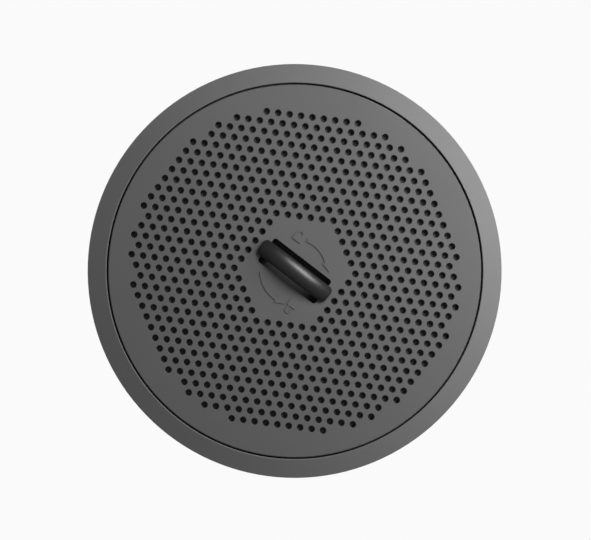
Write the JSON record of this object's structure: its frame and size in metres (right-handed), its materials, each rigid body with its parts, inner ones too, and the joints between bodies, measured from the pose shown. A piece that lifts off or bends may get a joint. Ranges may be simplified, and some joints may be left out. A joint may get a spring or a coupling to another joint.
{
  "type": "twist-lock vent cover",
  "caption": "Round perforated vent cover that drops into a mounting ring, turns to lock and lifts out by a central arched grip over a finger recess.",
  "frame": {"origin": "centre of the ring's resting face, on the gasket's underside", "axes": "+Z out of the cover's face, towards the person who turns it; +X along the arched grip"},
  "size_m": [0.24, 0.24, 0.032],
  "materials": {
    "charcoal_plastic": "fine spark-eroded texture, matte charcoal",
    "structure_plastic": "plain moulded, satin black",
    "recess_plastic": "matte black",
    "grip_plastic": "polished black",
    "seal_rubber": "matte black elastomer",
    "gasket_foam": "closed-cell foam",
    "screen_mesh": "woven nylon mesh",
    "screw_steel": "zinc-plated steel"
  },
  "bodies": {
    "ring": {"bezel": "charcoal_plastic", "keeper_ring": "structure_plastic", "base_ring": "structure_plastic", "base_gasket": "gasket_foam", "ring_screws": "screw_steel"},
    "seal": {"seal_ring": "seal_rubber"},
    "cover": {"vent_panel": "charcoal_plastic", "bayonet_ring": "structure_plastic", "bayonet_screws": "screw_steel", "screen_frame": "structure_plastic", "dust_screen": "screen_mesh", "grip_cup": "recess_plastic", "grip": "grip_plastic", "grip_washers": "screw_steel", "grip_screws": "screw_steel"}
  },
  "joints": [
    {"name": "cover_lift", "type": "slide", "parent": "ring", "child": "seal", "axis": [0, 0, 1], "range_m": [0, 0.04]},
    {"name": "cover_twist", "type": "hinge", "parent": "seal", "child": "cover", "pos_m": [0, 0, 0.022], "axis": [0, 0, 1], "range_deg": [-25, 0]}
  ]
}
